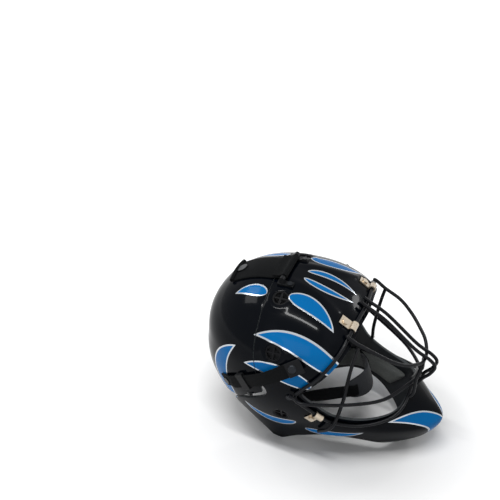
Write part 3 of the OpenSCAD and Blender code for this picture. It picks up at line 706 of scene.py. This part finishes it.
MAKERS = {
    "lacquer": lambda: lacquer_material("Lacquer with licks", {
        "shell": rgb(*bpy.context.scene.mask_shell.shell_colour),
        "lick": rgb(*bpy.context.scene.mask_shell.lick_colour), "lick_deep": rgb(0.0, 0.105, 0.33)}),
    "laminate": lambda: grained_material(
        "Bare laminate", (0.012, 0.014, 0.017), 0.36, 700, 0.0002, marks=0.12),
    "rim": lambda: grained_material("Rim edging", (0.05, 0.056, 0.06), 0.5, 900, 0.0001, level=0.2),
    "coat": lambda: grained_material(
        "Powder coat", bpy.context.scene.mask_cage.wire_colour, 0.34, 1600, 0.00008, marks=0.06,
        coat=0.03, level=0.12),
    "vent": lambda: grained_material(
        "Matt vent plastic", (0.004, 0.004, 0.005), 0.55, 1200, 0.0001, marks=0.05, level=0.1),
    "nickel": lambda: grained_material("Nickel plate", (0.50, 0.43, 0.34), 0.3, 500, 0.00008, 0.22, 1.0),
    "black_metal": lambda: grained_material(
        "Blacked metal", (0.02, 0.022, 0.025), 0.32, 800, 0.00005, 0.1, 1.0, marks=0.15),
    "steel": lambda: grained_material("Bright steel", (0.66, 0.66, 0.65), 0.24, 800, 0.00005, 0.12, 1.0),
    "moulded": lambda: grained_material(
        "Moulded buckle plastic", (0.005, 0.0055, 0.0065), 0.42, 1500, 0.00012, marks=0.06, level=0.1),
    "black_foam": lambda: cloth_material("Black lining", (0.012, 0.013, 0.015), sheen=0.06),
    "grey_foam": lambda: cloth_material("Grey lining", (0.075, 0.081, 0.078), 1100, sheen=0.1),
    "cup": lambda: cloth_material("Cup fabric", (0.012, 0.014, 0.018), 1300, sheen=0.08),
    "webbing": lambda: webbing_material("Elastic webbing", (0.004, 0.0045, 0.005)),
}


# --- Sizes and colours a user would change ---
class ShellSettings(bpy.types.PropertyGroup):
    shell_colour: bpy.props.FloatVectorProperty(
        name="Shell colour", description="Colour under the clear coat", subtype="COLOR", size=3,
        default=(0.001, 0.0018, 0.0035), min=0, max=1)
    lick_colour: bpy.props.FloatVectorProperty(
        name="Lick colour", description="Colour of the painted licks", subtype="COLOR", size=3,
        default=(0.001, 0.165, 0.44), min=0, max=1)
    rim_round: bpy.props.FloatProperty(
        name="Rim rounding", description="Radius of the moulded edges", default=0.0009, min=0.0003,
        max=0.0015, subtype="DISTANCE", unit="LENGTH")


class CageSettings(bpy.types.PropertyGroup):
    wire_colour: bpy.props.FloatVectorProperty(
        name="Wire colour", description="Colour of the powder coat", subtype="COLOR", size=3,
        default=(0.004, 0.0045, 0.006), min=0, max=1)
    wire_rings: bpy.props.IntProperty(
        name="Wire smoothness", description="Steps round a quarter of each wire", default=4, min=2, max=8)


class LiningSettings(bpy.types.PropertyGroup):
    brow_pad: bpy.props.FloatProperty(
        name="Forehead pad", description="Thickness of the forehead pad", default=0.015, min=0.01,
        max=0.018, subtype="DISTANCE", unit="LENGTH")
    other_pads: bpy.props.FloatProperty(
        name="Other pads", description="Thickness of the other pads", default=0.012, min=0.008,
        max=0.015, subtype="DISTANCE", unit="LENGTH")


class StageSettings(bpy.types.PropertyGroup):
    distance: bpy.props.FloatProperty(
        name="Camera distance", description="From the camera to the mask", default=1.4, min=0.8, max=3,
        subtype="DISTANCE", unit="LENGTH")
    floor_colour: bpy.props.FloatVectorProperty(
        name="Floor colour", description="Colour of the pale floor", subtype="COLOR", size=3,
        default=(0.86, 0.86, 0.86), min=0, max=1)


# --- Shell and back plate ---
RIDGE = smooth_path([(18, 50, 240), (22, 25, 239), (30, -5, 233), (42, -32, 221), (54, -50, 206)], 24)
CREST_H, CREST_R = 1.9, 6.5
BROW_CORNER = (52, -46, 207)
BULGE_H, BULGE_R = 2.6, 13
BROW_CLIP = (45, -48, 212.5)
CLIP_CLEAR, CLIP_FADE = 7.5, 8
VENT_LIPS = [(VENTS[1], 0.9), (VENTS[0], 0.8)]
LIP_AT, LIP_R = 15.2, 3.0
SHELL_MESH, PLATE_MESH = (195, 60), (60, 36)


def near_line(p, line):
    """Distance from p to a line of points, and the share along it."""
    best, at = 1e9, 0.0
    for k in range(len(line) - 1):
        a, b = Vector(line[k]), Vector(line[k + 1])
        u = clamp((p - a).dot(b - a) / (b - a).length_squared, 0, 1)
        d = (p - a.lerp(b, u)).length
        if d < best:
            best, at = d, (k + u) / (len(line) - 1)
    return best, at


def moulding(p):
    """Height of the moulded relief at p, in millimetres."""
    q = Vector((abs(p[0]), p[1], p[2]))
    d, at = near_line(q, RIDGE)
    crest = CREST_H * math.exp(-(d / CREST_R) ** 2)
    crest *= clamp(4 * at - 0.1, 0, 1) * clamp(5 * (1 - at) + 0.4, 0, 1)
    crest += BULGE_H * math.exp(-((q - Vector(BROW_CORNER)).length / BULGE_R) ** 2)
    # The clips lie on the plain wall
    clear = clamp(((q - Vector(BROW_CLIP)).length - CLIP_CLEAR) / CLIP_FADE, 0, 1)
    crest *= clear * clear * (3 - 2 * clear)
    lip = sum(h * math.exp(-(((q - Vector(vent)).length - LIP_AT) / LIP_R) ** 2) for vent, h in VENT_LIPS)
    return crest + lip


def moulded_wall(name, rows, mesh, thickness, closed, materials):
    """A wall over rows of the form and their mirror image: the shell closes on itself, the plate doesn't."""
    count, steps = mesh
    half = []
    for i in range(count + 1):
        row = []
        for j in range(steps + 1):
            p = strip_point(rows, (len(rows) - 1) * i / count, j / steps)
            if not closed:
                p = on_form(p + Vector((0, SEAM_GAP, 0)))
            row.append(raised(p, moulding(p)))
        half.append(row)
    if closed:
        ring = half + [[mirrored(p) for p in row] for row in reversed(half[:-1])]
    else:
        ring = [[mirrored(p) for p in row] for row in reversed(half[1:])] + half
    obj = sheet_of_points(name, ring, closed)
    face_out(obj, CORE)
    paint(obj, *materials)
    finish_with(obj, "SOLIDIFY", thickness=thickness * MM, offset=-1, use_even_offset=False,
                material_offset=1, material_offset_rim=2)
    return obj


def vent_cutter(materials):
    """One mesh with a round cutter at each vent, whose sides take the bare laminate."""
    cutters = []
    for side in (1, -1):
        for vent in VENTS:
            p = on_form((vent[0] * side, vent[1], vent[2]))
            deselect()
            bpy.ops.mesh.primitive_cylinder_add(vertices=64, radius=VENT_R * MM, depth=0.03,
                                                location=metres(p))
            cutter = bpy.context.object
            cutter.rotation_mode = "QUATERNION"
            cutter.rotation_quaternion = normal_at(p).to_track_quat("Z", "Y")
            cutters.append(cutter)
    made = join("vent_cutter", *cutters)
    paint(made, *materials)
    for face in made.data.polygons:
        face.material_index = 1
    return made


class MASK_OT_shell(bpy.types.Operator):
    """Moulds the shell and the back plate, cuts the vents and rounds their edges"""
    bl_idname = "mask.shell"
    bl_label = "Shell and back plate"

    def execute(self, context):
        settings = context.scene.mask_shell
        finishes = [finish_of("lacquer"), finish_of("laminate"), finish_of("rim")]
        shell = moulded_wall("shell_moulding", SHELL_ROWS, SHELL_MESH, SHELL_T, True, finishes)
        plate = moulded_wall("back_plate_moulding", PLATE_ROWS, PLATE_MESH, PLATE_T, False, finishes)
        self.level_feet(shell)
        cutter = vent_cutter(finishes)
        finish_with(shell, "BOOLEAN", object=cutter, operation="DIFFERENCE", solver="EXACT")
        bpy.data.objects.remove(cutter)
        for obj in (shell, plate):
            finish_with(obj, "BEVEL", width=settings.rim_round, segments=2, limit_method="ANGLE",
                        angle_limit=math.radians(55))
            smooth(obj, 40)
        seat(shell, "root", "shell", "shell")
        seat(plate, "back", "shell", "back_plate")
        return {"FINISHED"}

    def level_feet(self, shell):
        """Cuts the wall off flat where it meets the surface the mask stands on."""
        edit(shell, (bpy.ops.mesh.bisect, {
            "plane_co": (0, 0, 0), "plane_no": (0, 0, 1), "use_fill": True, "clear_inner": True,
            "threshold": 0.000001}))


# --- Cage ---
class MASK_OT_cage(bpy.types.Operator):
    """Bends the cage's wires along their lines"""
    bl_idname = "mask.cage"
    bl_label = "Cage"

    def execute(self, context):
        rings = context.scene.mask_cage.wire_rings
        bar, bow, upright, cheek, arch = cage_lines()
        half = [frame_at(LAST_ROW * i / 64) for i in range(65)]
        loop = half + [mirrored(p) for p in reversed(half[1:-1])]
        wires = {
            "cage_frame": [loop],
            "cage_centre_bars": [[p + v(side * BAR_PITCH / 2, 0, 0) for p in smooth_path(bar, 90)]
                                 for side in (-1, 1)],
            "cage_brow_bow": [smooth_path(both_halves(bow), 120)],
            "cage_uprights": [[v(side * p.x, p.y, p.z) for p in smooth_path(upright, 60)]
                              for side in (-1, 1)],
            "cage_cheek_bow": [smooth_path(both_halves(cheek), 110)],
            "cage_nose_arch": [smooth_path(both_halves(arch), 90)],
        }
        for name, lines in wires.items():
            parts = [tube(name + "_wire", line, WIRE_D, name == "cage_frame", rings) for line in lines]
            wire = join(name + "_wire", *parts)
            paint(wire, finish_of("coat"))
            seat(wire, "root", "cage", name)
        return {"FINISHED"}


# --- Metal and moulded fittings ---
# Finish, width of the softened edges, nodes
FITTINGS = [
    ("nickel", 0.0004, ("brow_clips", "jaw_clips")), ("nickel", 0.0006, ("clip_screws",)),
    ("steel", 0.0004, ("clip_nuts",)),
    ("black_metal", 0.0004, ("cup_rivets", "loop_screws", "top_snap", "side_snaps", "side_studs",
                             "strap_rivets")),
    ("vent", 0.0003, ("vent_grilles",)), ("moulded", 0.0005, ("top_loop", "slider_right", "slider_left")),
    ("moulded", 0.0006, ("side_tabs",)),
]


class MASK_OT_fittings(bpy.types.Operator):
    """Finishes the clips, screws, rivets, grilles and buckles that the solids already shape"""
    bl_idname = "mask.fittings"
    bl_label = "Clips, screws and grilles"

    def execute(self, context):
        for finish, edge, names in FITTINGS:
            for name in names:
                dress(name, finish_of(finish), edge)
        return {"FINISHED"}


# --- Lining ---
def cushion(name, cuts, point_of):
    """A cube cut into small faces, whose vertices go where point_of puts them in millimetres."""
    deselect()
    bpy.ops.mesh.primitive_cube_add(size=2)
    obj = named(name)
    edit(obj, (bpy.ops.mesh.subdivide, {"number_cuts": cuts}))
    for vert in obj.data.vertices:
        vert.co = metres(point_of(*vert.co))
    edit(obj, MERGE, OUTWARD)
    finish_with(obj, "SUBSURF", levels=1, render_levels=1)
    smooth(obj, 60)
    return obj


def pad_piece(name, rows, t_range, s_range, thick, gap, wrap=None, dents=()):
    """A crowned cushion against the inside of a wall, with room for what comes through behind it."""
    def point_of(a, b, c):
        share = (c + 1) / 2
        tuck = 1 - 0.045 * (2 * share - 1) ** 2
        a, b = a * tuck, b * tuck
        crown = max((1 - abs(a) ** 3.2) * (1 - abs(b) ** 3.2), 0) ** 0.5
        if wrap == "top":
            t, side = abs(a) * t_range[1], math.copysign(1, a)
        elif wrap == "chin":
            t, side = lerp(t_range[1], t_range[0], abs(a)), math.copysign(1, a)
        else:
            t, side = lerp(t_range[0], t_range[1], (a + 1) / 2), 1
        p = strip_point(rows, t, lerp(s_range[0], s_range[1], (b + 1) / 2))
        if rows is PLATE_ROWS:
            p = on_form(p + Vector((0, SEAM_GAP, 0)))
        back = gap
        for spot, radius, deep in dents:
            back = lerp(back, deep, clamp((radius + 3 - (p - Vector(spot)).length) / 3, 0, 1))
        depth = max(gap + share * thick * (0.5 + 0.5 * crown), back)
        q = raised(p, -depth)
        return q.x * side, q.y, q.z

    return cushion(name, 21 if dents else 11, point_of)


# Where the ear grille and the stud come through the wall behind the temple pad: place, radius, depth
PAD_DENTS = [(VENTS[1], 13.5, 6.6), ((109, 3, 172), 6.0, 7.0)]


class MASK_OT_lining(bpy.types.Operator):
    """Forms the foam pads against the inside of the shell and the back plate"""
    bl_idname = "mask.lining"
    bl_label = "Foam lining"

    def execute(self, context):
        settings = context.scene.mask_lining
        brow, other = settings.brow_pad / MM, settings.other_pads / MM
        drop = SHELL_T + 0.9
        black, grey = ("black_foam", "foam"), ("grey_foam", "jaw_foam")
        plan = [
            ("forehead_pad", SHELL_ROWS, (0, 2.2), (0.26, 0.45), brow, "top", black, "root"),
            ("crown_pad", SHELL_ROWS, (0, 0.72), (0.52, 0.72), other, "top", black, "root"),
            ("temple_pad_left", SHELL_ROWS, (2.35, 4.1), (0.2, 0.88), other, None, black, "root"),
            ("cheek_pad_left", SHELL_ROWS, (8.3, 11.1), (0.32, 0.82), other, None, grey, "root"),
            ("chin_pad", SHELL_ROWS, (11.7, LAST_ROW), (0.14, 0.46), other, "chin", grey, "root"),
            ("back_pad", PLATE_ROWS, (0, 2.6), (0.36, 0.74), other, "top", black, "back"),
        ]
        for name, rows, t_range, s_range, thick, wrap, (finish, slot), body in plan:
            dents = PAD_DENTS if name == "temple_pad_left" else ()
            pad = pad_piece(name + "_cushion", rows, t_range, s_range, thick, drop, wrap, dents)
            paint(pad, finish_of(finish))
            pads, twin = [(pad, name)], name.replace("_left", "_right")
            if twin != name:
                pads.append((mirror_copy(pad, twin + "_cushion"), twin))
            for made, node_name in pads:
                seat(made, body, slot, node_name)
        return {"FINISHED"}


# --- Straps and chin cup ---
RIBBON_COLUMNS = 8
SOFT_EDGE = 0.00035


def webbing(name, rows, thick):
    """A strap with thickness and rounded edges over rows of points."""
    obj = sheet_of_points(name, rows)
    finish_with(obj, "SOLIDIFY", thickness=thick * MM, offset=0)
    finish_with(obj, "BEVEL", width=SOFT_EDGE, segments=2, limit_method="ANGLE", angle_limit=math.radians(50))
    smooth(obj, 45)
    return paint(obj, finish_of("webbing"))


def ribbon(name, path, across, width, thick):
    """A flat strap of even width along path."""
    rows = []
    for i, p in enumerate(path):
        ahead = (path[min(i + 1, len(path) - 1)] - path[max(i - 1, 0)]).normalized()
        a = (across[i] - ahead * across[i].dot(ahead)).normalized()
        rows.append([p + a * width * (k / RIBBON_COLUMNS - 0.5) for k in range(RIBBON_COLUMNS + 1)])
    return webbing(name, rows, thick)


def ribbon_pair(name, body, *shape):
    """The left strap and its mirror image, each in place of its node."""
    left = ribbon(name + "_left_webbing", *shape)
    right = mirror_copy(left, name + "_right_webbing")
    seat(left, body, "webbing", name + "_left")
    seat(right, body, "webbing", name + "_right")


STRAP_W, STRAP_T, STRAP_LIFT = 19.0, 2.0, 3.6
FRONT_HIGH = STRAP_LIFT + STRAP_T / 2
STRAP_LOW = 0.3 + STRAP_T / 2
RUN_HIGH = 3.2 + STRAP_T / 2


def side_strap_line():
    """Control points of the left side strap's middle line, with the straight run its slider needs."""
    run_a = raised(on_form((105, 50, 138)), RUN_HIGH)
    run_b = raised(on_form((95, 84, 115)), RUN_HIGH)
    return [
        raised(on_form((109, -7, 179)), FRONT_HIGH), raised(on_form((109, 3, 172)), FRONT_HIGH),
        raised(on_form((110, 13, 165)), FRONT_HIGH), raised(on_form((109, 22, 158)), FRONT_HIGH),
        raised(on_form((109, 36, 148)), FRONT_HIGH + 0.2), run_a, run_a.lerp(run_b, 0.5), run_b,
        raised(on_form((91.5, 91, 110)), 1.6 + STRAP_T / 2),
        raised(on_form((89, 97, 106)), STRAP_LOW), raised(on_form((85, 104, 101)), STRAP_LOW),
    ]


HINGE_Y = 45.0
HINGE_R = 2.0
SLEEVE_IN = HINGE_R + 0.35
HINGE_Z = SHELL_H + 0.9 + STRAP_T + SLEEVE_IN
TOP_STRAP_W = 48.0
ROLL_R = 2.6
TAIL_HEIGHTS = [(58, 241), (84, 238), (120, 221)]
CUP_RIVET = (5.15, 0.31)


def top_strap_rows():
    """Rows of the top strap's middle surface: sewn end, turn round the bar, and tail on the plate."""
    radius = SLEEVE_IN + STRAP_T / 2
    flat = HINGE_Z - radius
    columns = [k * TOP_STRAP_W / 12 - TOP_STRAP_W / 2 for k in range(13)]
    side = [(HINGE_Y + 16, flat + 1.7), (HINGE_Y + 13, flat + 2.1), (HINGE_Y + 9.5, flat + 2.3),
            (HINGE_Y + 6.5, flat + 3.1)]
    for k in range(21):
        angle = math.radians(35 + 235 * k / 20)
        side.append((HINGE_Y + radius * math.cos(angle), HINGE_Z + radius * math.sin(angle)))
    side += [(HINGE_Y + 5, flat), (HINGE_Y + 10, flat)]
    rows = [[v(x, y, z) for x in columns] for y, z in side]
    for y in range(62, 121, 4):
        lift = (0.75 if y == 62 else 0.5 if y == 66 else 0.3) + STRAP_T / 2
        rows.append([raised(on_form((x, y, line_at(TAIL_HEIGHTS, y))), lift) for x in columns])
    # The end is turned over into a roll behind the snap
    end, before = rows[-1], rows[-2]
    for k in range(1, 13):
        turn = math.radians(26 * k)
        roll = ROLL_R * (1 - 0.03 * k)
        rows.append([p + (p - q).normalized() * (roll * math.sin(turn) + 1.5)
                     + normal_at(p) * roll * (1 - math.cos(turn)) for p, q in zip(end, before)])
    return rows


class MASK_OT_straps(bpy.types.Operator):
    """Lays the side straps and the top strap, and forms the chin cup on its bands"""
    bl_idname = "mask.straps"
    bl_label = "Straps and chin cup"

    def execute(self, context):
        line = side_strap_line()
        path = smooth_path(line, 60)
        across = []
        for i, p in enumerate(path):
            ahead = path[min(i + 1, 60)] - path[max(i - 1, 0)]
            across.append(normal_at(p).cross(ahead).normalized())
        ribbon_pair("side_strap", "back", path, across, STRAP_W, STRAP_T)

        top = webbing("top_strap_webbing", top_strap_rows(), STRAP_T)
        seat(top, "back", "webbing", "top_strap")

        self.chin_cup()
        return {"FINISHED"}

    def chin_cup(self):
        cup_half, cup_y, cup_depth, cup_z, cup_h, cup_t = 34.0, -74.0, 19.0, 88.0, 34.0, 5.0

        def cup_point(u):
            return v(cup_half * u, cup_y + cup_depth * u * u, cup_z)

        rise = v(0, 0.3, 1).normalized()

        def point_of(a, b, c):
            p = cup_point(a)
            slope = v(cup_half, 2 * cup_depth * a, 0).normalized()
            out = slope.cross(rise).normalized()
            round_in = 1 - 0.32 * abs(a) ** 4
            swell = 0.62 + 0.38 * max((1 - a ** 4) * (1 - b ** 4), 0) ** 0.5
            return p + rise * (b * cup_h / 2 * round_in) + out * (c * cup_t / 2 * swell)

        cup = cushion("chin_cup_padding", 9, point_of)
        paint(cup, finish_of("cup"))
        seat(cup, "root", "cup", "chin_cup")

        band_w, band_t, band_drop = 16.0, 1.6, 0.9
        rivet = strip_point(SHELL_ROWS, *CUP_RIVET)
        hold = raised(rivet, -SHELL_T - band_drop - band_t / 2)
        tail = cup_point(0.86) + v(0.75, -0.66, 0).normalized() * (cup_t / 2 + band_t / 2 + 0.8)
        start = tail + v(9, 10, 3)
        end = hold + v(-6, -2, -13)

        def by_wall(dz):
            return raised(on_form(rivet + v(0, 0, dz)), -SHELL_T - band_drop - band_t / 2)

        points = [tail - v(5, 4.3, 0), tail, start] + [start.lerp(end, u) for u in (0.2, 0.4, 0.6, 0.8)]
        points += [end, by_wall(-5), hold, by_wall(6)]
        side = v(0, 0, 1).cross(normal_at(rivet)).normalized()
        path = smooth_path(points, 50)
        across = [v(0, 0.3, 1).lerp(side, clamp((i / 5 - 1) / 6, 0, 1)) for i in range(51)]
        ribbon_pair("cup_strap", "root", path, across, band_w, band_t)


# --- Stage ---
VIEW_AZIMUTH, VIEW_ELEVATION = -74.0, 40.5
PIXELS_PER_M = 719.0
IMAGE_SIDE = 500
TARGET = metres((0, 0, 120))
SENSOR_MM = 36
FLOOR_SIDE = 14
# Glow of the floor by distance from the middle, in metres: from, to, strength
FLOOR_GLOW = [(0.09, 0.32, 0.40), (0.5, 2.4, 0.75)]
TARGET_PIXEL = (318.5, 347.5)


def seen_rays(tree):
    """1 for the rays of the camera, reflections and transmission."""
    rays = node(tree, "ShaderNodeLightPath").outputs
    seen = sums(tree, "MAXIMUM", rays["Is Camera Ray"], rays["Is Glossy Ray"])
    return sums(tree, "MAXIMUM", seen, rays["Is Transmission Ray"])


class MASK_OT_stage(bpy.types.Operator):
    """Sets the pale floor, the soft lights and the camera"""
    bl_idname = "mask.stage"
    bl_label = "Stage"

    def execute(self, context):
        scene = context.scene
        settings = scene.mask_stage
        deselect()
        bpy.ops.mesh.primitive_plane_add(size=FLOOR_SIDE, location=(0, 0, 0))
        floor = named("floor")
        paint(floor, self.floor_material(settings.floor_colour))
        world = bpy.data.worlds.new("Soft room")
        scene.world = world
        world.use_nodes = True
        tree = world.node_tree
        # White where it is seen, dim as a light
        tone = mix(tree, seen_rays(tree), rgb(0.20, 0.205, 0.21), rgb(1, 1, 1))
        fill(tree, tree.nodes["Background"], Color=tone)
        lights = [
            ("key", (-0.7, 0.1, 2.9), (2.0, 0.14), 56.0), ("fill", (-2.6, 0.2, 1.6), (1.8, 1.2), 12.0),
            ("far", (2.2, -1.5, 1.5), (0.5, 0.3), 9.0), ("back", (0.3, 2.2, 2.4), (1.2, 0.8), 24.0),
        ]
        for name, place_m, sides, power in lights:
            bpy.ops.object.light_add(type="AREA", location=place_m)
            lamp = bpy.context.object
            lamp.name = name
            lamp.data.shape = "RECTANGLE"
            lamp.data.size, lamp.data.size_y = sides
            lamp.data.energy = power
            lamp.rotation_euler = (TARGET - Vector(place_m)).to_track_quat("-Z", "Y").to_euler()
        self.camera(scene, settings.distance)
        scene.view_settings.view_transform = "Standard"
        return {"FINISHED"}

    def floor_material(self, colour):
        mat, tree, shader = new_material("Pale floor")
        where = coordinates(tree)
        tone = noise(tree, where, 3, 3)
        base = mix(tree, tone, rgb(*(c * 0.985 for c in colour)), rgb(*colour))
        fill(tree, shader, Base_Color=base, Roughness=0.85)
        # What the camera and reflections see of the floor is lifted to the white of the world
        seen = seen_rays(tree)
        away = length(tree, where)
        clear = sums(tree, "ADD", *(band(tree, away, near, far, 0.0, top) for near, far, top in FLOOR_GLOW))
        glow = fill(tree, node(tree, "ShaderNodeEmission"), Strength=sums(tree, "MULTIPLY", seen, clear))
        both = node(tree, "ShaderNodeAddShader")
        feed(tree, both.inputs[0], shader.outputs[0])
        feed(tree, both.inputs[1], glow.outputs[0])
        fill(tree, tree.nodes["Material Output"], Surface=both.outputs[0])
        return mat

    def camera(self, scene, distance):
        az, el = math.radians(VIEW_AZIMUTH), math.radians(VIEW_ELEVATION)
        back = Vector((math.sin(az) * math.cos(el), -math.cos(az) * math.cos(el), math.sin(el)))
        turned = (-back).to_track_quat("-Z", "Y")
        right, up = turned @ Vector((1, 0, 0)), turned @ Vector((0, 1, 0))
        place_m = TARGET + back * distance
        aim = TARGET.copy()
        for _ in range(6):
            # Turn the camera until the target falls on its pixel
            seen = (aim - place_m).to_track_quat("-Z", "Y").inverted() @ (TARGET - place_m)
            off_x = seen.x / -seen.z * distance - (TARGET_PIXEL[0] - IMAGE_SIDE / 2) / PIXELS_PER_M
            off_y = seen.y / -seen.z * distance + (TARGET_PIXEL[1] - IMAGE_SIDE / 2) / PIXELS_PER_M
            aim += right * off_x + up * off_y
        bpy.ops.object.camera_add(location=place_m)
        cam = bpy.context.object
        cam.name = "camera"
        cam.data.sensor_width = SENSOR_MM
        cam.data.lens = SENSOR_MM * PIXELS_PER_M * distance / IMAGE_SIDE
        cam.rotation_euler = (aim - place_m).to_track_quat("-Z", "Y").to_euler()
        cam.data.clip_start, cam.data.clip_end = 0.05, 50
        scene.camera = cam


# --- Panel and registration ---
class MASK_PT_panel(bpy.types.Panel):
    """Lists the steps that build the mask"""
    bl_idname = "MASK_PT_panel"
    bl_label = "Goalie mask"
    bl_space_type = "VIEW_3D"
    bl_region_type = "UI"
    bl_category = "Mask"

    def draw(self, context):
        for operator in STEPS:
            self.layout.operator(operator.bl_idname)
        for group_name in GROUP_SETTINGS:
            settings = getattr(context.scene, group_name)
            for prop in settings.bl_rna.properties:
                if not prop.is_readonly and prop.identifier != "name":
                    self.layout.prop(settings, prop.identifier)


STEPS = (MASK_OT_stage, MASK_OT_shell, MASK_OT_cage, MASK_OT_fittings, MASK_OT_lining, MASK_OT_straps)
GROUP_SETTINGS = {
    "mask_shell": ShellSettings, "mask_cage": CageSettings, "mask_lining": LiningSettings,
    "mask_stage": StageSettings,
}


def register():
    for cls in (*GROUP_SETTINGS.values(), *STEPS, MASK_PT_panel):
        bpy.utils.register_class(cls)
    for name, cls in GROUP_SETTINGS.items():
        setattr(bpy.types.Scene, name, bpy.props.PointerProperty(type=cls))


def unregister():
    for name in GROUP_SETTINGS:
        delattr(bpy.types.Scene, name)
    for cls in (MASK_PT_panel, *reversed(STEPS), *GROUP_SETTINGS.values()):
        bpy.utils.unregister_class(cls)


def main():
    register()
    for step in (bpy.ops.mask.stage, bpy.ops.mask.shell, bpy.ops.mask.cage, bpy.ops.mask.fittings,
                 bpy.ops.mask.lining, bpy.ops.mask.straps):
        step()
    deselect()


if __name__ == "__main__":
    main()
